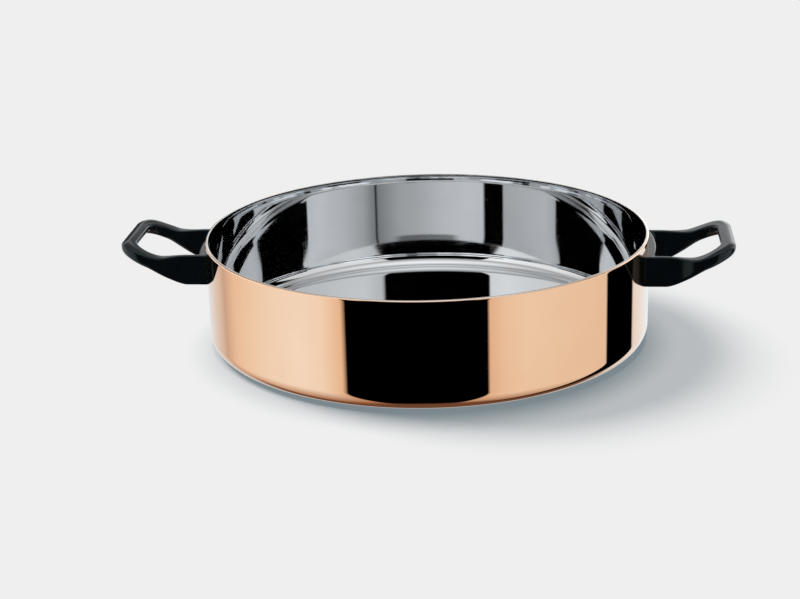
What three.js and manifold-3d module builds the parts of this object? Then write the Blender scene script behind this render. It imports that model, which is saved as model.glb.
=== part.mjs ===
// A low two-handled braiser: a two-ply bowl, copper outside and steel inside,
// with a cast loop handle riveted to the wall on each side.
// Millimetres, +Z up. The origin is the middle of the base, on the surface that it stands on,
// and the handles lie along X.
import * as THREE from 'three';
import { mergeVertices } from 'three/addons/utils/BufferGeometryUtils.js';
import Module from 'manifold-3d';

const wasm = await Module();
wasm.setup();

// Bowl
const BOWL_DIAMETER = 280; // outside of the copper
const BOWL_HEIGHT = 68;
const BASE_CORNER_RADIUS = 10; // outside of the copper, between the base and the wall
const COPPER_THICKNESS = 1.5;
const STEEL_THICKNESS = 0.6;
const BOND_GAP = 0.05; // between the two sheets
const RIM_ROUNDING = 0.4; // on the outer and inner edges of the rim
const BOWL_SEGMENTS = 96;
const BASE_CORNER_STEPS = 6;
const RIM_STEPS = 2;

// Plate of the handle, curved to the wall
const PLATE_BELOW_RIM = 8.3;
const PLATE_HEIGHT = 19.2;
const PLATE_THICKNESS = 4.5;
const PLATE_EDGE_ROUNDING = 1.2;
const PLATE_SEAT_GAP = 0.1; // between the casting and the copper

// Arms of the handle. Each is an upright blade at the wall, and it widens and rises into the grip.
const ARM_SPAN = 60.6; // across the outer faces, at the wall
const ARM_THICKNESS = 4;
const ARM_EDGE_ROUNDING = 1;
const ROOT_FILLET = 4; // between the plate and the inner face of an arm

// Grip of the handle, a bar with a flat top, a round far side and a slope under its near side.
// The roundings and the slope are shares of the width and of the thickness.
const GRIP_REACH = 52.3; // from the wall to the far edge
const GRIP_BELOW_RIM = 1.3;
const GRIP_LENGTH = 72; // across the outer faces
const GRIP_WIDTH = 9;
const GRIP_THICKNESS = 6.6; // at the far edge
const GRIP_NEAR_SIDE = 2.8; // height of the side towards the bowl
const GRIP_SHOULDER = { across: 0.58, down: 0.28 };
const GRIP_BELLY = { across: 0.32, up: 0.55 };
const GRIP_SLOPE = 0.66;
const GRIP_OUTER_CORNER_RADIUS = 16;
const GRIP_INNER_CORNER_RADIUS = 10.4;

// Course of the loop from the wall, with its starts and ends as shares of the reach.
// The upper edge dips a little and then rises. The lower edge rises steeply and then slowly.
const WIDENING = [0.24, 0.63];
const SHOULDER_GROWTH = [0.56, 0.82];
const UPPER_DIP = 0.8;
const UPPER_DIPPING = [0.16, 0.485];
const UPPER_RISE = [0.47, 0.94];
const STEEP_SHARE = 0.5; // of the lower edge's whole rise
const STEEP_RISE = [0.18, 0.66];
const SLOW_RISE = [0.44, 1.04];

// Steps of the handle's skin
const ARM_STEPS = 18;
const GRIP_CORNER_STEPS = 8;
const GRIP_STEPS = 2;
const EDGE_STEPS = 4;
const FILLET_STEPS = 5;

// Rivets, flush with the steel and with a round head on the plate
const RIVETS_PER_HANDLE = 2;
const RIVET_PITCH = 28; // along the wall
const RIVET_SHANK_DIAMETER = 6;
const RIVET_FLUSH_DIAMETER = 9;
const RIVET_FLUSH_DEPTH = 1.5;
const RIVET_HEAD_DIAMETER = 10;
const RIVET_HEAD_HEIGHT = 1.2;
const RIVET_CLEARANCE = 0.15;
const RIVET_SEGMENTS = 24;
const RIVET_DOME_STEPS = 4;

// Finishes
const COPPER = { color: 0xd99a6c, roughness: 0.12, metalness: 1 };
const POLISHED_STEEL = { color: 0xc3c6c8, roughness: 0.12, metalness: 1 };
const BLACK_IRON = { color: 0x17191b, roughness: 0.55, metalness: 0.4 };
const RIVET_STEEL = { color: 0x9c9fa1, roughness: 0.3, metalness: 1 };

// Places that follow from the sizes above
const wallRadius = BOWL_DIAMETER / 2;
const linerRadius = wallRadius - COPPER_THICKNESS - BOND_GAP;
const cavityRadius = linerRadius - STEEL_THICKNESS;
const linerBottom = COPPER_THICKNESS + BOND_GAP;
const seatRadius = wallRadius + PLATE_SEAT_GAP;
const plateRadius = seatRadius + PLATE_THICKNESS;
const plateTop = BOWL_HEIGHT - PLATE_BELOW_RIM;
const plateBottom = plateTop - PLATE_HEIGHT;
const plateMiddle = (plateTop + plateBottom) / 2;
const armOuterY = ARM_SPAN / 2;
const armMiddleY = armOuterY - ARM_THICKNESS / 2;
const armInnerY = armOuterY - ARM_THICKNESS;
const gripOuterX = wallRadius + GRIP_REACH;
const gripInnerX = gripOuterX - GRIP_WIDTH;
const gripOuterY = GRIP_LENGTH / 2;
const gripTop = BOWL_HEIGHT - GRIP_BELOW_RIM;
const gripBottom = gripTop - GRIP_THICKNESS;
const rivetStart = cavityRadius;
const rivetSeat = plateRadius + RIVET_CLEARANCE;

// A closed geometry as a solid that can be joined and cut
function solidOf(geometry) {
  const bare = geometry.clone();
  bare.deleteAttribute('normal');
  bare.deleteAttribute('uv');
  const merged = mergeVertices(bare);
  return new wasm.Manifold(new wasm.Mesh({
    numProp: 3,
    vertProperties: new Float32Array(merged.attributes.position.array),
    triVerts: new Uint32Array(merged.index.array),
  }));
}

// A joined or cut solid as a geometry
function geometryOf(solid) {
  const { vertProperties, triVerts } = solid.getMesh();
  const geometry = new THREE.BufferGeometry();
  geometry.setAttribute('position', new THREE.BufferAttribute(vertProperties, 3));
  geometry.setIndex(new THREE.BufferAttribute(triVerts, 1));
  geometry.computeVertexNormals();
  return geometry;
}

// A closed profile of (radius, height) points turned about Z
function turned(profile, segments) {
  return new THREE.LatheGeometry(profile, segments).rotateX(Math.PI / 2);
}

// Points of an arc, with angles in degrees from the first axis
function arcPoints(centreX, centreY, radius, fromDegrees, toDegrees, steps) {
  const points = [];
  for (let step = 0; step <= steps; step += 1) {
    const degrees = THREE.MathUtils.lerp(fromDegrees, toDegrees, step / steps);
    const angle = THREE.MathUtils.degToRad(degrees);
    const x = centreX + radius * Math.cos(angle);
    const y = centreY + radius * Math.sin(angle);
    points.push(new THREE.Vector2(x, y));
  }
  return points;
}

// A smooth change from one value to another between two places
function ease(place, start, end, from, to) {
  return THREE.MathUtils.lerp(from, to, THREE.MathUtils.smoothstep(place, start, end));
}

// One sheet of the bowl: a flat base, a round corner and an upright wall.
// Both sheets share the corner's centre, and each carries one rounded edge of the rim.
function sheetProfile(outerRadius, bottom, thickness, roundedEdge) {
  const innerRadius = outerRadius - thickness;
  const cornerX = wallRadius - BASE_CORNER_RADIUS;
  const cornerZ = BASE_CORNER_RADIUS;
  const rimZ = BOWL_HEIGHT - RIM_ROUNDING;
  const rims = {
    outer: [
      ...arcPoints(outerRadius - RIM_ROUNDING, rimZ, RIM_ROUNDING, 0, 90, RIM_STEPS),
      new THREE.Vector2(innerRadius, BOWL_HEIGHT),
    ],
    inner: [
      new THREE.Vector2(outerRadius, BOWL_HEIGHT),
      ...arcPoints(innerRadius + RIM_ROUNDING, rimZ, RIM_ROUNDING, 90, 180, RIM_STEPS),
    ],
  };
  return [
    new THREE.Vector2(0, bottom),
    ...arcPoints(cornerX, cornerZ, outerRadius - cornerX, -90, 0, BASE_CORNER_STEPS),
    ...rims[roundedEdge],
    ...arcPoints(cornerX, cornerZ, innerRadius - cornerX, 0, -90, BASE_CORNER_STEPS),
    new THREE.Vector2(0, bottom + thickness),
  ];
}

// A smooth change along the loop from one value to another, at a distance x from the bowl's axis
function alongReach(x, [start, end], from, to) {
  return ease((x - wallRadius) / GRIP_REACH, start, end, from, to);
}

// Height of the loop's upper edge
function upperEdge(x) {
  const dipped = alongReach(x, UPPER_DIPPING, plateTop, plateTop - UPPER_DIP);
  return alongReach(x, UPPER_RISE, dipped, gripTop);
}

// Height of the loop's lower edge
function lowerEdge(x) {
  const steep = alongReach(x, STEEP_RISE, 0, STEEP_SHARE);
  const slow = alongReach(x, SLOW_RISE, 0, 1 - STEEP_SHARE);
  return THREE.MathUtils.lerp(plateBottom, gripBottom, steep + slow);
}

// Half of the loop in plan, from inside the wall to the middle of the grip, as pairs of edge points
function halfLoop() {
  const { lerp } = THREE.MathUtils;
  const rootX = Math.sqrt(wallRadius ** 2 - armOuterY ** 2) - ARM_THICKNESS;
  const innerCornerX = gripInnerX - GRIP_INNER_CORNER_RADIUS;
  const innerCornerY = armInnerY - GRIP_INNER_CORNER_RADIUS;
  const outerCornerX = gripOuterX - GRIP_OUTER_CORNER_RADIUS;
  const outerCornerY = gripOuterY - GRIP_OUTER_CORNER_RADIUS;
  const pairs = [];
  for (let step = 0; step < ARM_STEPS; step += 1) {
    const innerX = lerp(rootX, innerCornerX, step / ARM_STEPS);
    const outerX = lerp(rootX, outerCornerX, step / ARM_STEPS);
    const outerY = alongReach(outerX, WIDENING, armOuterY, gripOuterY);
    pairs.push({
      inner: new THREE.Vector2(innerX, armInnerY),
      outer: new THREE.Vector2(outerX, outerY),
    });
  }
  const innerArc = arcPoints(innerCornerX, innerCornerY, GRIP_INNER_CORNER_RADIUS, 90, 0, GRIP_CORNER_STEPS);
  const outerArc = arcPoints(outerCornerX, outerCornerY, GRIP_OUTER_CORNER_RADIUS, 90, 0, GRIP_CORNER_STEPS);
  innerArc.forEach((inner, step) => pairs.push({ inner, outer: outerArc[step] }));
  for (let step = 1; step <= GRIP_STEPS; step += 1) {
    const share = step / GRIP_STEPS;
    pairs.push({
      inner: new THREE.Vector2(gripInnerX, lerp(innerCornerY, 0, share)),
      outer: new THREE.Vector2(gripOuterX, lerp(outerCornerY, 0, share)),
    });
  }
  return pairs;
}

// A rounded edge as a quarter of an ellipse about a centre
function quarterEllipse(centreX, centreY, radiusX, radiusY, fromDegrees) {
  const radii = new THREE.Vector2(radiusX, radiusY);
  const centre = new THREE.Vector2(centreX, centreY);
  const quarter = arcPoints(0, 0, 1, fromDegrees, fromDegrees - 90, EDGE_STEPS);
  return quarter.map((point) => point.multiply(radii).add(centre));
}

// Points moved towards the straight line from the first to the last of them
function flattened(points, share) {
  const [first, last] = [points[0], points.at(-1)];
  return points.map((point, step) => {
    const onLine = first.clone().lerp(last, step / (points.length - 1));
    return point.clone().lerp(onLine, share);
  });
}

// The loop's section between two edge points. An arm is an upright blade with four like edges,
// and as it widens and turns into the grip each edge takes on its own shape.
function loopSection({ inner, outer }) {
  const { clamp, lerp } = THREE.MathUtils;
  const edge = ARM_EDGE_ROUNDING;
  const width = inner.distanceTo(outer);
  const innerHeight = upperEdge(inner.x) - lowerEdge(inner.x);
  const widened = clamp((width - ARM_THICKNESS) / (GRIP_WIDTH - ARM_THICKNESS), 0, 1);
  const turnedIn = clamp((armInnerY - Math.abs(inner.y)) / GRIP_INNER_CORNER_RADIUS, 0, 1);
  const shouldered = alongReach(outer.x, SHOULDER_GROWTH, 0, 1);
  const shoulderX = lerp(edge, GRIP_SHOULDER.across * GRIP_WIDTH, shouldered);
  const shoulderZ = lerp(edge, GRIP_SHOULDER.down * GRIP_THICKNESS, shouldered);
  const bellyX = lerp(edge, GRIP_BELLY.across * GRIP_WIDTH, widened);
  const bellyZ = lerp(edge, GRIP_BELLY.up * GRIP_THICKNESS, widened);
  const slopeX = lerp(bellyX, GRIP_SLOPE * GRIP_WIDTH, turnedIn);
  const slopeZ = lerp(bellyZ, innerHeight - GRIP_NEAR_SIDE, turnedIn);
  const placed = (points, edgeHeight) => points.map(({ x: across, y: above }) => {
    const { x, y } = inner.clone().lerp(outer, across / width);
    return new THREE.Vector3(x, y, edgeHeight(x) + above);
  });
  return [
    ...placed(quarterEllipse(width - shoulderX, -shoulderZ, shoulderX, shoulderZ, 90), upperEdge),
    ...placed(quarterEllipse(width - bellyX, bellyZ, bellyX, bellyZ, 0), lowerEdge),
    ...placed(flattened(quarterEllipse(slopeX, slopeZ, slopeX, slopeZ, -90), turnedIn), lowerEdge),
    ...placed(quarterEllipse(edge, -edge, edge, edge, 180), upperEdge),
  ];
}

// The loop as a skin over its sections, with a cap at each root inside the wall
function loopGeometry() {
  const nearHalf = halfLoop();
  const mirrorY = new THREE.Vector2(1, -1);
  const farHalf = nearHalf.slice(0, -1).reverse().map(({ inner, outer }) => ({
    inner: inner.clone().multiply(mirrorY),
    outer: outer.clone().multiply(mirrorY),
  }));
  const rings = [...nearHalf, ...farHalf].map(loopSection);

  const around = rings[0].length;
  const triangles = [];
  for (let ring = 0; ring < rings.length - 1; ring += 1) {
    for (let side = 0; side < around; side += 1) {
      const here = ring * around + side;
      const beside = ring * around + ((side + 1) % around);
      triangles.push(here, here + around, beside, beside, here + around, beside + around);
    }
  }
  const last = (rings.length - 1) * around;
  for (let side = 1; side < around - 1; side += 1) {
    triangles.push(0, side, side + 1);
    triangles.push(last, last + side + 1, last + side);
  }
  const geometry = new THREE.BufferGeometry();
  const positions = rings.flat().flatMap((point) => point.toArray());
  geometry.setAttribute('position', new THREE.Float32BufferAttribute(positions, 3));
  geometry.setIndex(triangles);
  return geometry;
}

// A ring round the bowl with the section of the plate, sunk into the wall
function plateRing() {
  const edgeX = plateRadius - PLATE_EDGE_ROUNDING;
  const lowerZ = plateBottom + PLATE_EDGE_ROUNDING;
  const upperZ = plateTop - PLATE_EDGE_ROUNDING;
  const profile = [
    new THREE.Vector2(cavityRadius, plateBottom),
    ...arcPoints(edgeX, lowerZ, PLATE_EDGE_ROUNDING, -90, 0, EDGE_STEPS),
    ...arcPoints(edgeX, upperZ, PLATE_EDGE_ROUNDING, 0, 90, EDGE_STEPS),
    new THREE.Vector2(cavityRadius, plateTop),
    new THREE.Vector2(cavityRadius, plateBottom),
  ];
  return turned(profile, BOWL_SEGMENTS);
}

// The fillet that runs from the plate into the inner face of the arm on one side
function rootFillet(side) {
  const plateFaceX = Math.sqrt(plateRadius ** 2 - armInnerY ** 2);
  const centreX = plateFaceX + ROOT_FILLET;
  const centreY = armInnerY - ROOT_FILLET;
  const sunk = ARM_THICKNESS / 2;
  const outline = [
    new THREE.Vector2(plateFaceX - sunk, armInnerY + sunk),
    new THREE.Vector2(plateFaceX - sunk, centreY),
    ...arcPoints(centreX, centreY, ROOT_FILLET, 180, 90, FILLET_STEPS),
    new THREE.Vector2(centreX, armInnerY + sunk),
  ];
  const shape = new THREE.Shape(outline.map(({ x, y }) => new THREE.Vector2(x, side * y)));
  const depth = PLATE_HEIGHT - 2 * PLATE_EDGE_ROUNDING;
  const geometry = new THREE.ExtrudeGeometry(shape, { depth, bevelEnabled: false });
  return geometry.translate(0, 0, plateBottom + PLATE_EDGE_ROUNDING);
}

// A rivet along Z: a flush head, a shank and a round head
function rivetGeometry() {
  const shank = RIVET_SHANK_DIAMETER / 2;
  const head = RIVET_HEAD_DIAMETER / 2;
  const domeRadius = (head ** 2 + RIVET_HEAD_HEIGHT ** 2) / (2 * RIVET_HEAD_HEIGHT);
  const domeZ = rivetSeat + RIVET_HEAD_HEIGHT - domeRadius;
  const domeStart = THREE.MathUtils.radToDeg(Math.asin((rivetSeat - domeZ) / domeRadius));
  const dome = arcPoints(0, domeZ, domeRadius, domeStart, 90, RIVET_DOME_STEPS);
  const profile = [
    new THREE.Vector2(0, rivetStart),
    new THREE.Vector2(RIVET_FLUSH_DIAMETER / 2, rivetStart),
    new THREE.Vector2(shank, rivetStart + RIVET_FLUSH_DEPTH),
    new THREE.Vector2(shank, rivetSeat),
    ...dome.slice(0, -1),
    new THREE.Vector2(0, rivetSeat + RIVET_HEAD_HEIGHT),
  ];
  return turned(profile, RIVET_SEGMENTS);
}

// The hole for a rivet, with its clearance. It runs on past both faces of what it goes through.
function rivetHole() {
  const shank = RIVET_SHANK_DIAMETER / 2 + RIVET_CLEARANCE;
  const flush = RIVET_FLUSH_DIAMETER / 2 + RIVET_CLEARANCE;
  const start = rivetStart - RIVET_FLUSH_DEPTH;
  const end = rivetSeat + RIVET_HEAD_HEIGHT;
  const profile = [
    new THREE.Vector2(0, start),
    new THREE.Vector2(flush, start),
    new THREE.Vector2(flush, rivetStart),
    new THREE.Vector2(shank, rivetStart + RIVET_FLUSH_DEPTH),
    new THREE.Vector2(shank, end),
    new THREE.Vector2(0, end),
  ];
  return turned(profile, RIVET_SEGMENTS);
}

// A shape made along Z, laid along the bowl's radius at an angle and at the middle of the plate
function laidAlongRadius(geometry, angle) {
  return geometry.rotateY(Math.PI / 2).rotateZ(angle).translate(0, 0, plateMiddle);
}

// Angles about the bowl's axis of the rivets in a handle that is itself turned about it
function rivetAngles(turn) {
  const angles = [];
  for (let rivet = 0; rivet < RIVETS_PER_HANDLE; rivet += 1) {
    const along = (rivet - (RIVETS_PER_HANDLE - 1) / 2) * RIVET_PITCH;
    angles.push(turn + along / wallRadius);
  }
  return angles;
}

function drilled(solid, turns) {
  const holes = turns.flatMap(rivetAngles).map((angle) => solidOf(laidAlongRadius(rivetHole(), angle)));
  return holes.reduce((rest, hole) => rest.subtract(hole), solid);
}

// One handle on the +X side: plate, arms, grip and fillets in one casting, cut to the wall
function handleGeometry() {
  const tall = 2 * BOWL_HEIGHT;
  const reach = 2 * plateRadius;
  const betweenArms = new THREE.BoxGeometry(reach, 2 * armMiddleY, tall).translate(reach / 2, 0, 0);
  const bowl = [
    new THREE.Vector2(0, 0),
    new THREE.Vector2(seatRadius, 0),
    new THREE.Vector2(seatRadius, tall),
    new THREE.Vector2(0, tall),
  ];
  const casting = solidOf(plateRing())
    .intersect(solidOf(betweenArms))
    .add(solidOf(loopGeometry()))
    .add(solidOf(rootFillet(1)))
    .add(solidOf(rootFillet(-1)))
    .subtract(solidOf(turned(bowl, BOWL_SEGMENTS)));
  return geometryOf(drilled(casting, [0]));
}

function addPiece(group, name, geometry, finish) {
  const piece = new THREE.Mesh(geometry, new THREE.MeshStandardMaterial(finish));
  piece.name = name;
  group.add(piece);
}

const handleTurns = { right: 0, left: Math.PI };
const turns = Object.values(handleTurns);
const copper = turned(sheetProfile(wallRadius, 0, COPPER_THICKNESS, 'outer'), BOWL_SEGMENTS);
const steel = turned(sheetProfile(linerRadius, linerBottom, STEEL_THICKNESS, 'inner'), BOWL_SEGMENTS);

const braiser = new THREE.Group();
addPiece(braiser, 'copper_shell', geometryOf(drilled(solidOf(copper), turns)), COPPER);
addPiece(braiser, 'steel_liner', geometryOf(drilled(solidOf(steel), turns)), POLISHED_STEEL);
for (const [side, turn] of Object.entries(handleTurns)) {
  const mounting = new THREE.Group();
  mounting.rotation.z = turn;
  addPiece(mounting, `${side}_handle`, handleGeometry(), BLACK_IRON);
  rivetAngles(0).forEach((angle, rivet) => {
    const name = `${side}_rivet_${rivet + 1}`;
    addPiece(mounting, name, laidAlongRadius(rivetGeometry(), angle), RIVET_STEEL);
  });
  braiser.add(mounting);
}

export default braiser;
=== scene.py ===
import math

import bmesh
import bpy
from mathutils import Matrix, Vector


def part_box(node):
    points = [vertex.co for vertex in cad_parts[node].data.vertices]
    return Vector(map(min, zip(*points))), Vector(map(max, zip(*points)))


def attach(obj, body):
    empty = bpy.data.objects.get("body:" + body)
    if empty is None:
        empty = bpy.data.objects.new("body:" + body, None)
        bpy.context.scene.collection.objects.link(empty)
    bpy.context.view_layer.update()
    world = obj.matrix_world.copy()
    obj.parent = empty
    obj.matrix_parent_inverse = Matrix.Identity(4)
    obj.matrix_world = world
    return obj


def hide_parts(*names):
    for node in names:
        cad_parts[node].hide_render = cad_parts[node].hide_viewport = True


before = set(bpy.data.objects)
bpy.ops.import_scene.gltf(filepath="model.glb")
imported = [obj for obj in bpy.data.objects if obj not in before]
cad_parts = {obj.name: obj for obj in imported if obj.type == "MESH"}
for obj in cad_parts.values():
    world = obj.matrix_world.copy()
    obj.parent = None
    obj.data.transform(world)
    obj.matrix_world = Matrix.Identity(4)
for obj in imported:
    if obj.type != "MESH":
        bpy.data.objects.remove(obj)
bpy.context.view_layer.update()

# Lengths of the object are in millimetres, as in the part's source, and meshes are in metres.
MM = 0.001

# Bowl
_, bowl_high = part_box("copper_shell")
BOWL_RADIUS = bowl_high.x / MM
BOWL_HEIGHT = bowl_high.z / MM
BASE_CORNER_RADIUS = 10.0
COPPER_THICKNESS = 1.5
STEEL_THICKNESS = 0.6
BOND_GAP = 0.05
OUTER_RIM_ROUNDING = 1.1
INNER_RIM_ROUNDING = 0.2
LIP_DEPTH = 6.0  # of the lining's slight lean outwards below the rim
LIP_FLARE = 0.3
LIP_STEPS = 12
CUT_EDGE_DEPTH = 0.4  # of the rim's ground edge, paler than the sheets
BOWL_SEGMENTS = 384
BASE_CORNER_STEPS = 20
RIM_STEPS = 8
FLAT_MARGIN = 0.6  # from a round corner to the ring that keeps the flat beside it flat
BOWL_SHARP_DEGREES = 40

# Handle
PLATE_BELOW_RIM = 8.3
PLATE_HEIGHT = 19.2
PLATE_THICKNESS = 4.9
PLATE_EDGE_ROUNDING = 1.2
PLATE_SEAT_GAP = -0.3  # sunk a little, so that no light shows under the casting's soft edges
ARM_SPAN = 60.6
ARM_THICKNESS = 4.0
ARM_EDGE_ROUNDING = 1.0
ROOT_FILLET = 4.0
GRIP_REACH = 52.3
GRIP_BELOW_RIM = 1.3
GRIP_LENGTH = 72.0
GRIP_WIDTH = 9.0
GRIP_THICKNESS = 6.6
GRIP_NEAR_SIDE = 2.8
GRIP_OUTER_CORNER_RADIUS = 16.0
GRIP_INNER_CORNER_RADIUS = 10.4
UPPER_DIP = 0.8
STEEP_SHARE = 0.5  # of the lower edge's rise

# The grip's section, in shares of its width and thickness
GRIP_SHOULDER_ACROSS = 0.58
GRIP_SHOULDER_DOWN = 0.28
GRIP_BELLY_ACROSS = 0.32
GRIP_BELLY_UP = 0.55
GRIP_SLOPE = 0.66

# Courses along the loop, in shares of its reach
WIDENING = (0.24, 0.63)
SHOULDER_GROWTH = (0.56, 0.82)
UPPER_DIPPING = (0.16, 0.485)
UPPER_RISE = (0.47, 0.94)
STEEP_RISE = (0.18, 0.66)
SLOW_RISE = (0.44, 1.04)

# The casting's mesh
ARM_STEPS = 60
GRIP_CORNER_STEPS = 28
GRIP_STEPS = 10
EDGE_STEPS = 10
FILLET_STEPS = 12
PLATE_STEPS = 60
CASTING_VOXEL = 0.4
CASTING_SMOOTHING = 6
CASTING_SMOOTHING_FACTOR = 0.5

# Rivets
RIVET_PITCH = 28.0
RIVET_SHANK_DIAMETER = 6.0
RIVET_FLUSH_DIAMETER = 9.0
RIVET_FLUSH_DEPTH = 1.5
RIVET_HEAD_DIAMETER = 10.0
RIVET_HEAD_HEIGHT = 1.2
RIVET_CLEARANCE = 0.15
RIVET_SEGMENTS = 64
RIVET_FACE_STEPS = 8
RIVET_DOME_STEPS = 12
RIVET_FACE_PROUD = 0.05  # of the lining, so that its edge shows as a fine line
RIVET_SHARP_DEGREES = 35

# Finishes. The depths of bumps are in metres, and a pair is the low and high end of a range.
COPPER = (0.885, 0.595, 0.40)
COPPER_TARNISH = (0.865, 0.565, 0.37)
COPPER_EDGE = (0.94, 0.8, 0.7)
COPPER_ROUGHNESS = (0.01, 0.026)
STEEL = (0.74, 0.755, 0.768)
STEEL_TARNISH = (0.72, 0.735, 0.75)
STEEL_EDGE = (0.86, 0.865, 0.87)
STEEL_ROUGHNESS = (0.012, 0.03)
POLISH_LINES = {"turns": 2.5, "across": 900}
POLISH_LINE_RANGE = (0.3, 0.7)
POLISH_LINE_DEPTH = 0.0000004
HAIR_SCRATCHES = {"turns": 9, "across": 2600}
HAIR_SCRATCH_RANGE = (0.70, 0.76)
HAIR_SCRATCH_ROUGHNESS = 0.05
SMEAR_SCALE = 22
SMEAR_RANGE = (0.35, 0.75)
SMEAR_ROUGHNESS = 0.01
SHEET_WAVE_SCALE = 14
SHEET_WAVE_DEPTH = 0.00002
IRON_DARK = (0.0034, 0.0048, 0.0058)
IRON_PALE = (0.006, 0.0078, 0.009)
IRON_RUBBED = (0.018, 0.019, 0.02)
IRON_TINT = (0.7, 0.95, 1.08)
IRON_IOR = 1.35
IRON_ROUGHNESS = (0.08, 0.12)
IRON_GRAIN_SCALE = 1500
IRON_GRAIN_DEPTH = 0.00001
IRON_MOTTLE_SCALE = 160
IRON_MOTTLE_RANGE = (0.3, 0.7)
IRON_MOTTLE_DEPTH = 0.00002
RUBBED_EDGES = (0.52, 0.58)
RUBBED_PATCHES = (0.4, 0.65)
RUBBED_ROUGHNESS = -0.02  # added to the iron's own
RIVET_DARK = (0.50, 0.51, 0.52)
RIVET_PALE = (0.60, 0.61, 0.62)
RIVET_ROUGHNESS = (0.03, 0.36)
RIVET_MARK_SCALE = 700
RIVET_MARK_RANGE = (0.0, 0.7)
RIVET_MARK_DEPTH = 0.00002

# Camera, fitted to the rim and base in the photograph
CAMERA_AZIMUTH = 4.94
CAMERA_ELEVATION = 18.387
CAMERA_DISTANCE = 1152.92  # from the point on the axis at the height below
CAMERA_AIM_HEIGHT = 30.0
CAMERA_PAN = 0.891
CAMERA_TILT = -0.382
CAMERA_ROLL = 1.264
FOCAL_LENGTH_PIXELS = 1798.08
IMAGE_WIDTH = 800
SENSOR_WIDTH = 36.0

# Places that follow from the sizes above
liner_radius = BOWL_RADIUS - COPPER_THICKNESS - BOND_GAP
cavity_radius = liner_radius - STEEL_THICKNESS
liner_bottom = COPPER_THICKNESS + BOND_GAP
seat_radius = BOWL_RADIUS + PLATE_SEAT_GAP
plate_radius = seat_radius + PLATE_THICKNESS
plate_top = BOWL_HEIGHT - PLATE_BELOW_RIM
plate_bottom = plate_top - PLATE_HEIGHT
plate_middle = (plate_top + plate_bottom) / 2
arm_outer_y = ARM_SPAN / 2
arm_middle_y = arm_outer_y - ARM_THICKNESS / 2
arm_inner_y = arm_outer_y - ARM_THICKNESS
grip_outer_x = BOWL_RADIUS + GRIP_REACH
grip_inner_x = grip_outer_x - GRIP_WIDTH
grip_outer_y = GRIP_LENGTH / 2
grip_top = BOWL_HEIGHT - GRIP_BELOW_RIM
grip_bottom = grip_top - GRIP_THICKNESS


def lerp(start, end, share):
    return start + (end - start) * share


def clamped(share):
    return min(max(share, 0.0), 1.0)


def ease(place, start, end, low, high):
    """A smooth change from one value to another between two places."""
    share = clamped((place - start) / (end - start))
    return lerp(low, high, share * share * (3 - 2 * share))


def arc(centre_x, centre_y, radius, start_degrees, end_degrees, steps):
    points = []
    for step in range(steps + 1):
        angle = math.radians(lerp(start_degrees, end_degrees, step / steps))
        points.append((centre_x + radius * math.cos(angle), centre_y + radius * math.sin(angle)))
    return points


def linked(name, mesh):
    piece = bpy.data.objects.new(name, mesh)
    bpy.context.scene.collection.objects.link(piece)
    return piece


def mesh_from(builder, name):
    bmesh.ops.recalc_face_normals(builder, faces=builder.faces)
    mesh = bpy.data.meshes.new(name)
    builder.to_mesh(mesh)
    builder.free()
    return mesh


def evaluated(piece, name):
    """The piece's mesh with its modifiers applied. The piece is removed."""
    depsgraph = bpy.context.evaluated_depsgraph_get()
    mesh = bpy.data.meshes.new_from_object(piece.evaluated_get(depsgraph))
    mesh.name = name
    bpy.data.objects.remove(piece)
    return mesh


def smooth_shaded(mesh, sharp_degrees):
    mesh.shade_smooth()
    mesh.set_sharp_from_angle(angle=math.radians(sharp_degrees))
    return mesh


def turned(name, profile, segments):
    """A closed mesh turned about Z from (radius, height) points that start and end on the axis."""
    builder = bmesh.new()
    rings = []
    for radius, height in profile:
        ring = []
        for step in range(segments if radius > 0 else 1):
            angle = 2 * math.pi * step / segments
            x = radius * MM * math.cos(angle)
            y = radius * MM * math.sin(angle)
            ring.append(builder.verts.new((x, y, height * MM)))
        rings.append(ring)
    for lower, upper in zip(rings, rings[1:]):
        for here in range(segments):
            beside = (here + 1) % segments
            corners = [
                lower[here % len(lower)],
                lower[beside % len(lower)],
                upper[beside % len(upper)],
                upper[here % len(upper)],
            ]
            builder.faces.new(list(dict.fromkeys(corners)))
    return mesh_from(builder, name)


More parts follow.
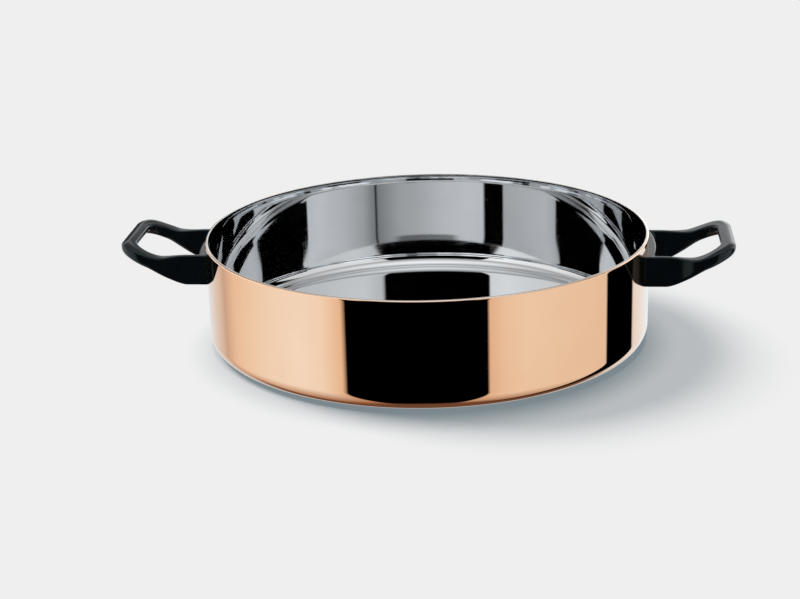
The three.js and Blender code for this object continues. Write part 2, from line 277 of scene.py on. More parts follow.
def sheet_profile(outer_radius, bottom, thickness, is_lining):
    """One sheet of the bowl: a flat base, a round corner and an upright wall.

    The copper's rim is rounded outside. The lining's rim leans outwards and is rounded inside.
    """
    inner_radius = outer_radius - thickness
    corner_x = BOWL_RADIUS - BASE_CORNER_RADIUS
    corner_z = BASE_CORNER_RADIUS
    wall_bottom = corner_z + FLAT_MARGIN
    flat_radius = corner_x - FLAT_MARGIN
    top = bottom + thickness
    outer_edge = [(outer_radius, BOWL_HEIGHT)]
    inner_edge = [(inner_radius, BOWL_HEIGHT)]
    if is_lining:
        rim_x = inner_radius + LIP_FLARE + INNER_RIM_ROUNDING
        rim_z = BOWL_HEIGHT - INNER_RIM_ROUNDING
        inner_edge = arc(rim_x, rim_z, INNER_RIM_ROUNDING, 90, 180, RIM_STEPS)
        for step in range(1, LIP_STEPS + 1):
            share = step / LIP_STEPS
            lean = LIP_FLARE * (1 - share) ** 2
            inner_edge.append((inner_radius + lean, rim_z - LIP_DEPTH * share))
        inner_edge.append((inner_radius, rim_z - LIP_DEPTH - FLAT_MARGIN))
    else:
        rim_x = outer_radius - OUTER_RIM_ROUNDING
        rim_z = BOWL_HEIGHT - OUTER_RIM_ROUNDING
        outer_edge = [(outer_radius, rim_z - FLAT_MARGIN)]
        outer_edge += arc(rim_x, rim_z, OUTER_RIM_ROUNDING, 0, 90, RIM_STEPS)
    return [
        (0, bottom),
        (flat_radius, bottom),
        *arc(corner_x, corner_z, outer_radius - corner_x, -90, 0, BASE_CORNER_STEPS),
        (outer_radius, wall_bottom),
        *outer_edge,
        *inner_edge,
        (inner_radius, wall_bottom),
        *arc(corner_x, corner_z, inner_radius - corner_x, 0, -90, BASE_CORNER_STEPS),
        (flat_radius, top),
        (0, top),
    ]


def along_reach(x, course, low, high):
    """A smooth change along the loop, whose start and end are shares of the reach."""
    start, end = course
    return ease((x - BOWL_RADIUS) / GRIP_REACH, start, end, low, high)


def upper_edge(x):
    """Height of the loop's upper edge."""
    dipped = along_reach(x, UPPER_DIPPING, plate_top, plate_top - UPPER_DIP)
    return along_reach(x, UPPER_RISE, dipped, grip_top)


def lower_edge(x):
    """Height of the loop's lower edge."""
    steep = along_reach(x, STEEP_RISE, 0, STEEP_SHARE)
    slow = along_reach(x, SLOW_RISE, 0, 1 - STEEP_SHARE)
    return lerp(plate_bottom, grip_bottom, steep + slow)


def half_loop():
    """Half of the loop in plan, from inside the wall to the middle of the grip, as pairs of edge points."""
    root_x = math.sqrt(BOWL_RADIUS ** 2 - arm_outer_y ** 2) - ARM_THICKNESS
    inner_corner_x = grip_inner_x - GRIP_INNER_CORNER_RADIUS
    inner_corner_y = arm_inner_y - GRIP_INNER_CORNER_RADIUS
    outer_corner_x = grip_outer_x - GRIP_OUTER_CORNER_RADIUS
    outer_corner_y = grip_outer_y - GRIP_OUTER_CORNER_RADIUS
    pairs = []
    for step in range(ARM_STEPS):
        inner_x = lerp(root_x, inner_corner_x, step / ARM_STEPS)
        outer_x = lerp(root_x, outer_corner_x, step / ARM_STEPS)
        outer_y = along_reach(outer_x, WIDENING, arm_outer_y, grip_outer_y)
        pairs.append(((inner_x, arm_inner_y), (outer_x, outer_y)))
    inner_arc = arc(inner_corner_x, inner_corner_y, GRIP_INNER_CORNER_RADIUS, 90, 0, GRIP_CORNER_STEPS)
    outer_arc = arc(outer_corner_x, outer_corner_y, GRIP_OUTER_CORNER_RADIUS, 90, 0, GRIP_CORNER_STEPS)
    pairs += zip(inner_arc, outer_arc)
    for step in range(1, GRIP_STEPS + 1):
        share = step / GRIP_STEPS
        inner = (grip_inner_x, lerp(inner_corner_y, 0, share))
        outer = (grip_outer_x, lerp(outer_corner_y, 0, share))
        pairs.append((inner, outer))
    return pairs


def rounded_edge(centre_x, centre_y, radius_x, radius_y, start_degrees):
    """A quarter of an ellipse about a centre."""
    quarter = arc(0, 0, 1, start_degrees, start_degrees - 90, EDGE_STEPS)
    return [(centre_x + radius_x * x, centre_y + radius_y * y) for x, y in quarter]


def flattened(points, share):
    """Points moved towards the straight line from the first to the last of them."""
    (first_x, first_y), (last_x, last_y) = points[0], points[-1]
    moved = []
    for step, (x, y) in enumerate(points):
        along = step / (len(points) - 1)
        line_x = lerp(first_x, last_x, along)
        line_y = lerp(first_y, last_y, along)
        moved.append((lerp(x, line_x, share), lerp(y, line_y, share)))
    return moved


def loop_section(inner, outer):
    """The loop's section between two edge points, from an arm's upright blade to the grip's shaped bar."""
    edge = ARM_EDGE_ROUNDING
    width = math.dist(inner, outer)
    inner_height = upper_edge(inner[0]) - lower_edge(inner[0])
    widened = clamped((width - ARM_THICKNESS) / (GRIP_WIDTH - ARM_THICKNESS))
    turned_in = clamped((arm_inner_y - abs(inner[1])) / GRIP_INNER_CORNER_RADIUS)
    shouldered = along_reach(outer[0], SHOULDER_GROWTH, 0, 1)
    shoulder_x = lerp(edge, GRIP_SHOULDER_ACROSS * GRIP_WIDTH, shouldered)
    shoulder_z = lerp(edge, GRIP_SHOULDER_DOWN * GRIP_THICKNESS, shouldered)
    belly_x = lerp(edge, GRIP_BELLY_ACROSS * GRIP_WIDTH, widened)
    belly_z = lerp(edge, GRIP_BELLY_UP * GRIP_THICKNESS, widened)
    slope_x = lerp(belly_x, GRIP_SLOPE * GRIP_WIDTH, turned_in)
    slope_z = lerp(belly_z, inner_height - GRIP_NEAR_SIDE, turned_in)

    def placed(points, edge_height):
        section = []
        for across, above in points:
            x = lerp(inner[0], outer[0], across / width)
            y = lerp(inner[1], outer[1], across / width)
            section.append(Vector((x, y, edge_height(x) + above)) * MM)
        return section

    return [
        *placed(rounded_edge(width - shoulder_x, -shoulder_z, shoulder_x, shoulder_z, 90), upper_edge),
        *placed(rounded_edge(width - belly_x, belly_z, belly_x, belly_z, 0), lower_edge),
        *placed(flattened(rounded_edge(slope_x, slope_z, slope_x, slope_z, -90), turned_in), lower_edge),
        *placed(rounded_edge(edge, -edge, edge, edge, 180), upper_edge),
    ]


def loop_mesh():
    """The loop as a skin over its sections, cut to the wall."""
    near_half = half_loop()
    far_half = [
        ((inner[0], -inner[1]), (outer[0], -outer[1])) for inner, outer in reversed(near_half[:-1])
    ]
    builder = bmesh.new()
    rings = []
    for inner, outer in near_half + far_half:
        rings.append([builder.verts.new(point) for point in loop_section(inner, outer)])
    for ring, following in zip(rings, rings[1:]):
        for here in range(len(ring)):
            beside = (here + 1) % len(ring)
            builder.faces.new((ring[here], ring[beside], following[beside], following[here]))
    builder.faces.new(rings[0])
    builder.faces.new(rings[-1])
    loop = linked("loop", mesh_from(builder, "loop"))

    tall = 2 * BOWL_HEIGHT
    bowl_space = [(0, 0), (seat_radius, 0), (seat_radius, tall), (0, tall)]
    cutter = linked("bowl_space", turned("bowl_space", bowl_space, BOWL_SEGMENTS))
    cut = loop.modifiers.new("wall", "BOOLEAN")
    cut.operation = "DIFFERENCE"
    cut.solver = "EXACT"
    cut.object = cutter
    mesh = evaluated(loop, "cut_loop")
    bpy.data.objects.remove(cutter)
    return mesh


def add_prism(builder, lower, upper):
    """A closed prism between two like outlines of points in metres."""
    first = [builder.verts.new(point) for point in lower]
    second = [builder.verts.new(point) for point in upper]
    for here in range(len(first)):
        beside = (here + 1) % len(first)
        builder.faces.new((first[here], first[beside], second[beside], second[here]))
    builder.faces.new(first)
    builder.faces.new(second)


def add_plate(builder):
    """The plate between the arms, curved to the wall."""
    edge_x = plate_radius - PLATE_EDGE_ROUNDING
    lower_z = plate_bottom + PLATE_EDGE_ROUNDING
    upper_z = plate_top - PLATE_EDGE_ROUNDING
    outline = [
        (seat_radius, plate_bottom),
        *arc(edge_x, lower_z, PLATE_EDGE_ROUNDING, -90, 0, EDGE_STEPS),
        *arc(edge_x, upper_z, PLATE_EDGE_ROUNDING, 0, 90, EDGE_STEPS),
        (seat_radius, plate_top),
    ]
    reach = math.asin(arm_middle_y / plate_radius)
    sections = []
    for step in range(PLATE_STEPS + 1):
        angle = lerp(-reach, reach, step / PLATE_STEPS)
        section = []
        for radius, height in outline:
            point = Vector((radius * math.cos(angle), radius * math.sin(angle), height)) * MM
            section.append(builder.verts.new(point))
        sections.append(section)
    for section, following in zip(sections, sections[1:]):
        for here in range(len(section)):
            beside = (here + 1) % len(section)
            builder.faces.new((section[here], section[beside], following[beside], following[here]))
    builder.faces.new(sections[0])
    builder.faces.new(sections[-1])


def add_root_fillet(builder, side):
    """The fillet between the plate and the inner face of the arm on one side."""
    plate_face_x = math.sqrt(plate_radius ** 2 - arm_inner_y ** 2)
    centre_x = plate_face_x + ROOT_FILLET
    centre_y = arm_inner_y - ROOT_FILLET
    sunk = ARM_THICKNESS / 2
    outline = [
        (plate_face_x - sunk, arm_inner_y + sunk),
        (plate_face_x - sunk, centre_y),
        *arc(centre_x, centre_y, ROOT_FILLET, 180, 90, FILLET_STEPS),
        (centre_x, arm_inner_y + sunk),
    ]
    low = plate_bottom + PLATE_EDGE_ROUNDING
    high = plate_top - PLATE_EDGE_ROUNDING
    lower = [Vector((x, side * y, low)) * MM for x, y in outline]
    upper = [Vector((x, side * y, high)) * MM for x, y in outline]
    add_prism(builder, lower, upper)


def casting_mesh():
    """One handle on the +X side: loop, plate and fillets run together into one smooth casting."""
    builder = bmesh.new()
    add_plate(builder)
    add_root_fillet(builder, 1)
    add_root_fillet(builder, -1)
    loop = loop_mesh()
    builder.from_mesh(loop)
    bpy.data.meshes.remove(loop)
    casting = linked("casting", mesh_from(builder, "casting"))
    remesh = casting.modifiers.new("one_body", "REMESH")
    remesh.mode = "VOXEL"
    remesh.voxel_size = CASTING_VOXEL * MM
    soften = casting.modifiers.new("soften", "SMOOTH")
    soften.factor = CASTING_SMOOTHING_FACTOR
    soften.iterations = CASTING_SMOOTHING
    mesh = evaluated(casting, "handle_casting")
    mesh.shade_smooth()
    return mesh


def rivet_mesh():
    """A rivet along X at the middle of the plate: a flush face in the lining, a shank and a round head."""
    face = RIVET_FLUSH_DIAMETER / 2
    shank = RIVET_SHANK_DIAMETER / 2
    head = RIVET_HEAD_DIAMETER / 2
    head_seat = plate_radius + RIVET_CLEARANCE
    dome_radius = (head ** 2 + RIVET_HEAD_HEIGHT ** 2) / (2 * RIVET_HEAD_HEIGHT)
    dome_middle = head_seat + RIVET_HEAD_HEIGHT - dome_radius
    dome_start = math.degrees(math.asin((head_seat - dome_middle) / dome_radius))
    face_rings = [(face * step / RIVET_FACE_STEPS, cavity_radius) for step in range(RIVET_FACE_STEPS + 1)]
    dome = arc(0, dome_middle, dome_radius, dome_start, 90, RIVET_DOME_STEPS)
    profile = [
        *face_rings,
        (shank, cavity_radius + RIVET_FLUSH_DEPTH),
        (shank, head_seat),
        *dome[:-1],
        (0, head_seat + RIVET_HEAD_HEIGHT),
    ]
    mesh = turned("rivet", profile, RIVET_SEGMENTS)
    mesh.transform(Matrix.Rotation(math.pi / 2, 4, "Y"))
    face_radius = (cavity_radius - RIVET_FACE_PROUD) * MM
    for vertex in mesh.vertices:
        if vertex.co.x < (cavity_radius + RIVET_FACE_PROUD) * MM:
            vertex.co.x = math.sqrt(face_radius ** 2 - vertex.co.y ** 2)
    mesh.transform(Matrix.Translation((0, 0, plate_middle * MM)))
    return smooth_shaded(mesh, RIVET_SHARP_DEGREES)


def node(tree, kind, inputs=None, **settings):
    """A new node with its settings, and its inputs set to values or linked to outputs."""
    made = tree.nodes.new(kind)
    for key, value in settings.items():
        setattr(made, key, value)
    for key, value in (inputs or {}).items():
        if isinstance(value, bpy.types.NodeSocket):
            tree.links.new(value, made.inputs[key])
        else:
            made.inputs[key].default_value = value
    return made


def maths(tree, operation, *values):
    return node(tree, "ShaderNodeMath", dict(enumerate(values)), operation=operation).outputs[0]


def noise(tree, vector, scale, detail=2.0, roughness=0.5):
    inputs = {"Vector": vector, "Scale": scale, "Detail": detail, "Roughness": roughness}
    return node(tree, "ShaderNodeTexNoise", inputs).outputs["Fac"]


def spread(tree, value, source, target=(0.0, 1.0), smooth=False):
    """The value mapped from one range to another and held inside it."""
    inputs = {
        "Value": value,
        "From Min": source[0],
        "From Max": source[1],
        "To Min": target[0],
        "To Max": target[1],
    }
    kind = "SMOOTHSTEP" if smooth else "LINEAR"
    return node(tree, "ShaderNodeMapRange", inputs, interpolation_type=kind).outputs["Result"]


def mixed(tree, share, first, second):
    made = node(tree, "ShaderNodeMix", {0: share}, data_type="RGBA")
    for socket, value in ((made.inputs[6], first), (made.inputs[7], second)):
        if isinstance(value, bpy.types.NodeSocket):
            tree.links.new(value, socket)
        else:
            socket.default_value = (*value, 1)
    return made.outputs[2]


def bump(tree, height, distance, under=None):
    inputs = {"Height": height, "Strength": 1.0, "Distance": distance}
    if under is not None:
        inputs["Normal"] = under
    return node(tree, "ShaderNodeBump", inputs).outputs["Normal"]


def scaled(tree, colour, factors):
    return node(tree, "ShaderNodeVectorMath", {0: colour, 1: factors}, operation="MULTIPLY").outputs[0]


def grey(level):
    return (level, level, level)


def ramp(tree, factor, stops):
    """Colours along a factor from 0 to 1."""
    made = node(tree, "ShaderNodeValToRGB", {0: factor})
    elements = made.color_ramp.elements
    for position, _ in stops[1:-1]:
        elements.new(position)
    for element, (position, colour) in zip(elements, stops):
        element.position = position
        element.color = (*colour, 1)
    return made.outputs[0]


def between_degrees(tree, angle, edge, smooth=True):
    """0 to 1 as the angle goes from the start of an edge to its end."""
    return spread(tree, angle, [math.radians(degrees) for degrees in edge], smooth=smooth)


def window(tree, angle, opening, closing):
    """1 between two soft edges, and 0 outside them."""
    opened = between_degrees(tree, angle, opening)
    closed = between_degrees(tree, angle, closing)
    return maths(tree, "SUBTRACT", opened, closed)


def looking(azimuth_degrees, elevation_degrees):
    """The direction from the object to a place in the room, with the camera's side at -Y."""
    turn = math.radians(azimuth_degrees)
    rise = math.radians(elevation_degrees)
    level = math.cos(rise)
    return Vector((level * math.sin(turn), -level * math.cos(turn), math.sin(rise)))


def new_material(name):
    material = bpy.data.materials.new(name)
    material.use_nodes = True
    return material, material.node_tree, material.node_tree.nodes["Principled BSDF"]


def axis_distance(tree, parts):
    """Distance from the bowl's axis, from the parts of a place."""
    level = node(tree, "ShaderNodeCombineXYZ", {0: parts[0], 1: parts[1]}).outputs[0]
    return node(tree, "ShaderNodeVectorMath", {0: level}, operation="LENGTH").outputs["Value"]


def lathe_space(tree, turns, across):
    """Coordinates that run round the bowl's axis, stretched along the turn."""
    place = node(tree, "ShaderNodeTexCoord").outputs["Object"]
    parts = node(tree, "ShaderNodeSeparateXYZ", {0: place}).outputs
    angle = maths(tree, "ARCTAN2", parts[1], parts[0])
    inputs = {
        0: maths(tree, "MULTIPLY", angle, turns),
        1: maths(tree, "MULTIPLY", axis_distance(tree, parts), across),
        2: maths(tree, "MULTIPLY", parts[2], across),
    }
    return node(tree, "ShaderNodeCombineXYZ", inputs).outputs[0]


def polished_sheet(name, colour, tarnish, cut_edge, roughness):
    """Sheet metal polished on a lathe: fine lines round the axis, a few hair scratches and soft smears."""
    material, tree, shader = new_material(name)
    place = node(tree, "ShaderNodeTexCoord").outputs["Object"]
    level = node(tree, "ShaderNodeSeparateXYZ", {0: place}).outputs[2]
    lines = noise(tree, lathe_space(tree, **POLISH_LINES), 1.0, detail=5.0, roughness=0.62)
    hairs = noise(tree, lathe_space(tree, **HAIR_SCRATCHES), 1.0, detail=1.0)
    scratches = spread(tree, hairs, HAIR_SCRATCH_RANGE, smooth=True)
    smears = noise(tree, place, SMEAR_SCALE, detail=3.0, roughness=0.55)
    waves = noise(tree, place, SHEET_WAVE_SCALE, detail=1.0)

    tone = spread(tree, smears, SMEAR_RANGE, smooth=True)
    rim_low = (BOWL_HEIGHT - CUT_EDGE_DEPTH) * MM
    rim_high = (BOWL_HEIGHT - CUT_EDGE_DEPTH / 2) * MM
    ground = spread(tree, level, (rim_low, rim_high))
    sheet = mixed(tree, tone, colour, tarnish)
    tree.links.new(mixed(tree, ground, sheet, cut_edge), shader.inputs["Base Color"])

    polish = spread(tree, lines, POLISH_LINE_RANGE, roughness)
    smeared = maths(tree, "MULTIPLY_ADD", tone, SMEAR_ROUGHNESS, polish)
    scratched = maths(tree, "MULTIPLY_ADD", scratches, HAIR_SCRATCH_ROUGHNESS, smeared)
    tree.links.new(scratched, shader.inputs["Roughness"])

    rolled = bump(tree, waves, SHEET_WAVE_DEPTH)
    lined = bump(tree, lines, POLISH_LINE_DEPTH, rolled)
    tree.links.new(bump(tree, scratches, POLISH_LINE_DEPTH, lined), shader.inputs["Normal"])
    shader.inputs["Metallic"].default_value = 1.0
    return material


def cast_iron():
    """Black iron with a fine cast grain, rubbed a little smoother and paler on its edges."""
    material, tree, shader = new_material("black_iron")
    place = node(tree, "ShaderNodeTexCoord").outputs["Object"]
    grain = noise(tree, place, IRON_GRAIN_SCALE, detail=3.0, roughness=0.6)
    mottle = noise(tree, place, IRON_MOTTLE_SCALE, detail=3.0, roughness=0.55)
    edge = node(tree, "ShaderNodeNewGeometry").outputs["Pointiness"]
    rubbed = spread(tree, edge, RUBBED_EDGES, smooth=True)
    patchy = maths(tree, "MULTIPLY", rubbed, spread(tree, mottle, RUBBED_PATCHES))

    plain = mixed(tree, mottle, IRON_DARK, IRON_PALE)
    tree.links.new(mixed(tree, patchy, plain, IRON_RUBBED), shader.inputs["Base Color"])
    satin = spread(tree, mottle, IRON_MOTTLE_RANGE, IRON_ROUGHNESS)
    worn = maths(tree, "MULTIPLY_ADD", patchy, RUBBED_ROUGHNESS, satin)
    tree.links.new(worn, shader.inputs["Roughness"])
    waved = bump(tree, mottle, IRON_MOTTLE_DEPTH)
    tree.links.new(bump(tree, grain, IRON_GRAIN_DEPTH, waved), shader.inputs["Normal"])
    shader.inputs["IOR"].default_value = IRON_IOR
    shader.inputs["Specular Tint"].default_value = (*IRON_TINT, 1)
    return material


def rivet_steel():
    """Satin steel with the marks of the setting tool, polished with the lining on the flush face."""
    material, tree, shader = new_material("rivet_steel")
    place = node(tree, "ShaderNodeTexCoord").outputs["Object"]
    parts = node(tree, "ShaderNodeSeparateXYZ", {0: place}).outputs
    polished_to = cavity_radius * MM
    satin_from = (cavity_radius + RIVET_FACE_PROUD) * MM
    satin = spread(tree, axis_distance(tree, parts), (polished_to, satin_from))
    dents = noise(tree, place, RIVET_MARK_SCALE, detail=4.0, roughness=0.6)
    marks = maths(tree, "MULTIPLY", dents, satin)
    tint = mixed(tree, marks, RIVET_DARK, RIVET_PALE)
    tree.links.new(mixed(tree, satin, STEEL, tint), shader.inputs["Base Color"])
    tree.links.new(spread(tree, marks, RIVET_MARK_RANGE, RIVET_ROUGHNESS), shader.inputs["Roughness"])
    tree.links.new(bump(tree, marks, RIVET_MARK_DEPTH), shader.inputs["Normal"])
    shader.inputs["Metallic"].default_value = 1.0
    return material


def add_piece(name, mesh, material, cad_node, slot):
    """A piece of the braiser. Only the bowl casts a shadow, as in the photograph."""
    mesh.materials.clear()
    mesh.materials.append(material)
    piece = linked(name, mesh)
    piece.visible_diffuse = False
    piece.visible_shadow = slot in ("copper", "polished_steel")
    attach(piece, "root")
    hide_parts(cad_node)


copper = polished_sheet("copper", COPPER, COPPER_TARNISH, COPPER_EDGE, COPPER_ROUGHNESS)
steel = polished_sheet("polished_steel", STEEL, STEEL_TARNISH, STEEL_EDGE, STEEL_ROUGHNESS)
iron = cast_iron()
rivet_finish = rivet_steel()

shell_profile = sheet_profile(BOWL_RADIUS, 0, COPPER_THICKNESS, is_lining=False)
liner_profile = sheet_profile(liner_radius, liner_bottom, STEEL_THICKNESS, is_lining=True)
shell = smooth_shaded(turned("copper_bowl", shell_profile, BOWL_SEGMENTS), BOWL_SHARP_DEGREES)
liner = smooth_shaded(turned("steel_lining", liner_profile, BOWL_SEGMENTS), BOWL_SHARP_DEGREES)
add_piece("copper_bowl", shell, copper, "copper_shell", "copper")
add_piece("steel_lining", liner, steel, "steel_liner", "polished_steel")

casting = casting_mesh()
rivet = rivet_mesh()
for side, turn in (("right", 0.0), ("left", math.pi)):
    handle = casting.copy()
    handle.transform(Matrix.Rotation(turn, 4, "Z"))
    add_piece(f"handle_{side}", handle, iron, f"{side}_handle", "black_iron")
    for number, along in ((1, -RIVET_PITCH / 2), (2, RIVET_PITCH / 2)):
        placed = rivet.copy()
        placed.transform(Matrix.Rotation(turn + along / BOWL_RADIUS, 4, "Z"))
        add_piece(f"rivet_{side}_{number}", placed, rivet_finish, f"{side}_rivet_{number}", "rivet_steel")

# Camera
elevation = math.radians(CAMERA_ELEVATION)
forward = Vector((0, math.cos(elevation), -math.sin(elevation)))
right = Vector((1, 0, 0))
up = right.cross(forward)
aim = Vector((0, 0, CAMERA_AIM_HEIGHT))
stand = aim - forward * CAMERA_DISTANCE
pan = Matrix.Rotation(math.radians(CAMERA_PAN), 3, up)
forward, right = pan @ forward, pan @ right
tilt = Matrix.Rotation(math.radians(CAMERA_TILT), 3, right)
forward, up = tilt @ forward, tilt @ up
roll = Matrix.Rotation(math.radians(CAMERA_ROLL), 3, forward)
right, up = roll @ right, roll @ up
axes = Matrix((right, up, -forward)).transposed().to_4x4()
camera = bpy.data.objects.new("camera", bpy.data.cameras.new("camera"))
camera.data.sensor_width = SENSOR_WIDTH
camera.data.lens = FOCAL_LENGTH_PIXELS * SENSOR_WIDTH / IMAGE_WIDTH
camera.matrix_world = (
    Matrix.Rotation(math.radians(CAMERA_AZIMUTH), 4, "Z") @ Matrix.Translation(stand * MM) @ axes
)
bpy.context.scene.collection.objects.link(camera)
bpy.context.scene.camera = camera

# Floor
FLOOR_HALF = 15.0
PALE = (0.863, 0.863, 0.863)
floor_builder = bmesh.new()
bmesh.ops.create_grid(floor_builder, x_segments=2, y_segments=2, size=FLOOR_HALF)
floor = linked("floor", mesh_from(floor_builder, "floor"))
floor_material, _, floor_shader = new_material("floor")
floor_shader.inputs["Base Color"].default_value = (*PALE, 1)
floor_shader.inputs["Roughness"].default_value = 1.0
floor_shader.inputs["Specular IOR Level"].default_value = 0.0
floor.data.materials.append(floor_material)
floor.visible_glossy = False

# Light: a soft key from the upper left, a soft top light and an even room.
# Azimuths are from the camera's side, positive to the right.
LIGHT_TINT = (1.06, 0.99, 0.955)
ROOM = (0.225, 0.277, 0.303)
SUNS = (
    {"name": "key", "azimuth": -125.0, "elevation": 46.0, "softness": 26.0, "share": 0.42},
    {"name": "top", "azimuth": -175.0, "elevation": 78.0, "softness": 28.0, "share": 0.31},
)
for sun in SUNS:
    lamp = bpy.data.objects.new(sun["name"], bpy.data.lights.new(sun["name"], "SUN"))
    light_from = looking(sun["azimuth"] + CAMERA_AZIMUTH, sun["elevation"])
    lamp.rotation_euler = light_from.to_track_quat("Z", "Y").to_euler()
    lamp.data.energy = math.pi * sun["share"] / light_from.z
    lamp.data.angle = math.radians(sun["softness"])
    lamp.data.color = LIGHT_TINT
    lamp.visible_glossy = False
    bpy.context.scene.collection.objects.link(lamp)

# Room that the metal mirrors: pale panels with dark gaps between them, by azimuth from the camera.
# The outside of the bowl sees the panels' lower half, and the lining sees their upper half.
BLACK = (0.0, 0.0, 0.0)
LOWER_PANELS = (
    (-180, (0.82, 0.93, 1.02)),
    (-150, (0.81, 0.88, 0.94)),
    (-136, (0.77, 0.73, 0.73)),
    (-129, (0.67, 0.55, 0.48)),
    (-117, (0.93, 0.83, 0.75)),
    (-98, (0.98, 1.0, 1.0)),
    (-70, (1.02, 1.12, 1.22)),
    (-56, (1.0, 1.06, 1.1)),
    (-43.8, (0.90, 0.74, 0.6)),
    (-43.3, BLACK),
    (30.3, BLACK),
    (30.8, (0.85, 0.72, 0.62)),
    (38, (0.93, 0.86, 0.79)),
    (50, (0.95, 0.94, 0.91)),
    (103, (0.90, 0.84, 0.79)),
    (104, BLACK),
    (130, BLACK),
    (131, (0.90, 1.0, 1.12)),
    (150, (0.93, 1.08, 1.22)),
    (180, (0.82, 0.93, 1.02)),
)
UPPER_PANELS = (
    (-180, 0.88),
    (-168, 0.80),
    (-153, 0.74),
    (-128, 0.42),
    (-127, 0.4),
    (-126.2, 0.0),
    (-125, 0.0),
    (-124.2, 0.4),
    (-123, 0.41),
    (-111, 0.72),
    (-87, 0.98),
    (-57, 1.14),
    (-45, 1.06),
    (-43.6, 0.0),
    (30, 0.0),
    (31.5, 0.78),
    (45, 0.95),
    (57, 0.93),
    (94, 0.78),
    (95.5, 0.0),
    (116, 0.0),
    (117.5, 1.08),
    (135, 1.13),
    (159, 1.04),
    (172, 0.95),
    (180, 0.88),
)
OVERHEAD = ((0, 0.5), (52, 0.5), (70, 0.95), (84, 1.15))  # levels by elevation
FAR_HEIGHTS = ((0, 1.0), (19, 1.0), (20.6, 0.32))  # shares of the far panels' levels by elevation
SIDE_GLOW = (2.0, 2.0, 2.0)  # low on both sides, where only the rim's rounding sees it
LEFT_DUSK = (0.08, 0.085, 0.09)  # behind the left grip's shoulder
RIGHT_GLOW = (1.9, 1.9, 1.9)  # behind the right grip's shoulder
BRONZE = (0.45, 0.25, 0.15)  # the panels' tint towards the floor
BRONZE_DROP = 10.0  # how many degrees lower the tint starts on the right
FAR_FLOOR = (0.75, 0.72, 0.70)
UNDERFOOT = (0.17, 0.09, 0.06)
NARROWING = 0.24  # of the front panels, where the lining's base sees them

# Angles in the room, in degrees. A pair is where a soft edge starts and ends.
FULL_TURN = (-180, 180)
FULL_RISE = (0, 90)
RIGHT_HALF = (-5, 5)
FRONT_HALF = (90, 60)
UPPER_HALF = (-9, 7)
FAR_END = (140, 155)
FAR_FLOOR_SIDES = (136, 158)
FAR_FLOOR_EDGE = (-22, -34)
SEEN_FROM_BASE = (16.8, 17.8)
BRONZE_EDGE = (-25, -70)
ROOF_EDGE = (38, 52)
PAST_SIDE = (117, 133)
SHADOW_EDGE = (-36, -50)
UNDERFOOT_EDGE = (-66, -80)
BESIDE = ((84, 96), (136, 146))
GLOW_BAND = ((1, 5), (11, 14.5))
BEHIND_RIGHT = ((150, 156), (168, 171))
BEHIND_LEFT = ((-171, -168), (-159, -156))
DUSK_BAND = ((-15, -11), (13.5, 14.8))

world = bpy.data.worlds.new("room")
bpy.context.scene.world = world
world.use_nodes = True
world.cycles.sampling_method = "NONE"
room = world.node_tree
direction = node(room, "ShaderNodeTexCoord").outputs["Generated"]
facing = node(
    room,
    "ShaderNodeVectorRotate",
    {"Vector": direction, "Angle": -math.radians(CAMERA_AZIMUTH)},
    rotation_type="Z_AXIS",
).outputs[0]
parts = node(room, "ShaderNodeSeparateXYZ", {0: facing}).outputs
azimuth = maths(room, "ARCTAN2", parts[0], maths(room, "MULTIPLY", parts[1], -1.0))
height = maths(room, "ARCSINE", parts[2])
aside = maths(room, "ABSOLUTE", azimuth)

# Upper half: the panels, narrower where the lining's base sees them, and darker high up at the far end
front_half = between_degrees(room, aside, FRONT_HALF)
from_base = maths(room, "MULTIPLY", between_degrees(room, height, SEEN_FROM_BASE), front_half)
squeeze = maths(room, "MULTIPLY_ADD", from_base, NARROWING, 1.0)
squeezed = maths(room, "MULTIPLY", azimuth, squeeze)
round_upper = between_degrees(room, squeezed, FULL_TURN, smooth=False)
front = ramp(room, round_upper, [(degrees / 360 + 0.5, grey(level)) for degrees, level in UPPER_PANELS])
rise = between_degrees(room, height, FULL_RISE, smooth=False)
far_level = ramp(room, rise, [(degrees / 90, grey(level)) for degrees, level in FAR_HEIGHTS])
far_end = between_degrees(room, aside, FAR_END)
upper = mixed(room, far_end, front, scaled(room, front, far_level))

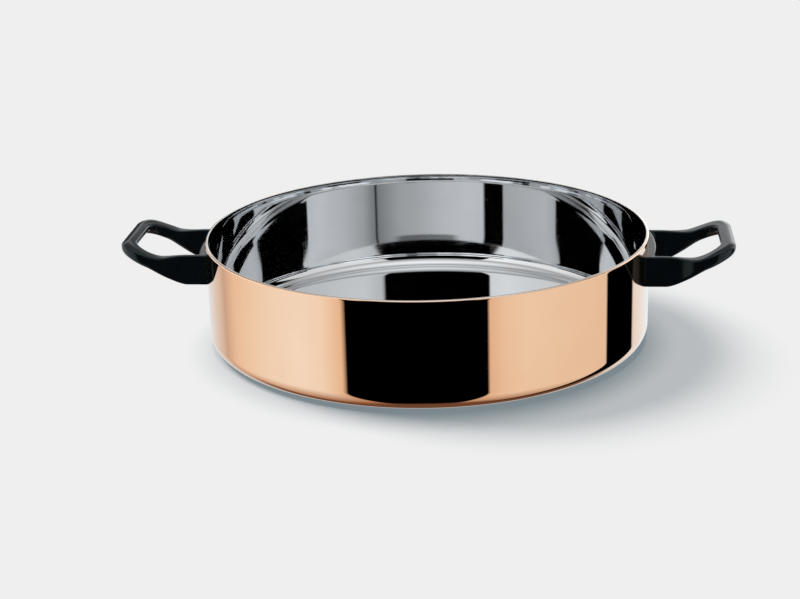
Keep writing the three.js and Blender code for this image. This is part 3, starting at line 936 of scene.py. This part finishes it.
# Lower half: the panels turn bronze towards the floor, and the floor shows at the far end
round_room = between_degrees(room, azimuth, FULL_TURN, smooth=False)
lower = ramp(room, round_room, [(degrees / 360 + 0.5, colour) for degrees, colour in LOWER_PANELS])
on_right = between_degrees(room, azimuth, RIGHT_HALF)
raised = maths(room, "MULTIPLY_ADD", on_right, math.radians(BRONZE_DROP), height)
toward_floor = between_degrees(room, raised, BRONZE_EDGE, smooth=False)
shaded = mixed(room, toward_floor, lower, scaled(room, lower, BRONZE))
behind = between_degrees(room, aside, FAR_FLOOR_SIDES)
far_floor = maths(room, "MULTIPLY", behind, between_degrees(room, height, FAR_FLOOR_EDGE))
grounded = mixed(room, far_floor, shaded, FAR_FLOOR)

# Walls: both halves, with the glow and dusk that the rim and the grips see
plain_walls = mixed(room, between_degrees(room, height, UPPER_HALF), grounded, upper)
glow_band = window(room, height, *GLOW_BAND)
beside = maths(room, "MULTIPLY", window(room, aside, *BESIDE), glow_band)
glowing = mixed(room, beside, plain_walls, SIDE_GLOW)
behind_right = maths(room, "MULTIPLY", window(room, azimuth, *BEHIND_RIGHT), glow_band)
brightened = mixed(room, behind_right, glowing, RIGHT_GLOW)
dusk_band = window(room, height, *DUSK_BAND)
behind_left = maths(room, "MULTIPLY", window(room, azimuth, *BEHIND_LEFT), dusk_band)
walls = mixed(room, behind_left, brightened, LEFT_DUSK)

# Roof, and the dark underfoot, which reaches higher behind the bowl
roof = ramp(room, rise, [(degrees / 90, grey(level)) for degrees, level in OVERHEAD])
roofed = mixed(room, between_degrees(room, height, ROOF_EDGE), walls, roof)
past_side = between_degrees(room, aside, PAST_SIDE)
shadow_behind = maths(room, "MULTIPLY", past_side, between_degrees(room, height, SHADOW_EDGE))
underfoot = maths(room, "MAXIMUM", between_degrees(room, height, UNDERFOOT_EDGE), shadow_behind)
mirrored = mixed(room, underfoot, roofed, UNDERFOOT)

# The metal mirrors the room, other surfaces are lit evenly, and the camera sees a pale background
path = node(room, "ShaderNodeLightPath").outputs
lit = mixed(room, path["Is Glossy Ray"], ROOM, mirrored)
seen = maths(room, "MAXIMUM", path["Is Camera Ray"], path["Is Transmission Ray"])
shown = mixed(room, seen, lit, PALE)
room.links.new(shown, room.nodes["Background"].inputs["Color"])

bpy.context.scene.view_settings.view_transform = "Standard"

bpy.context.view_layer.update()
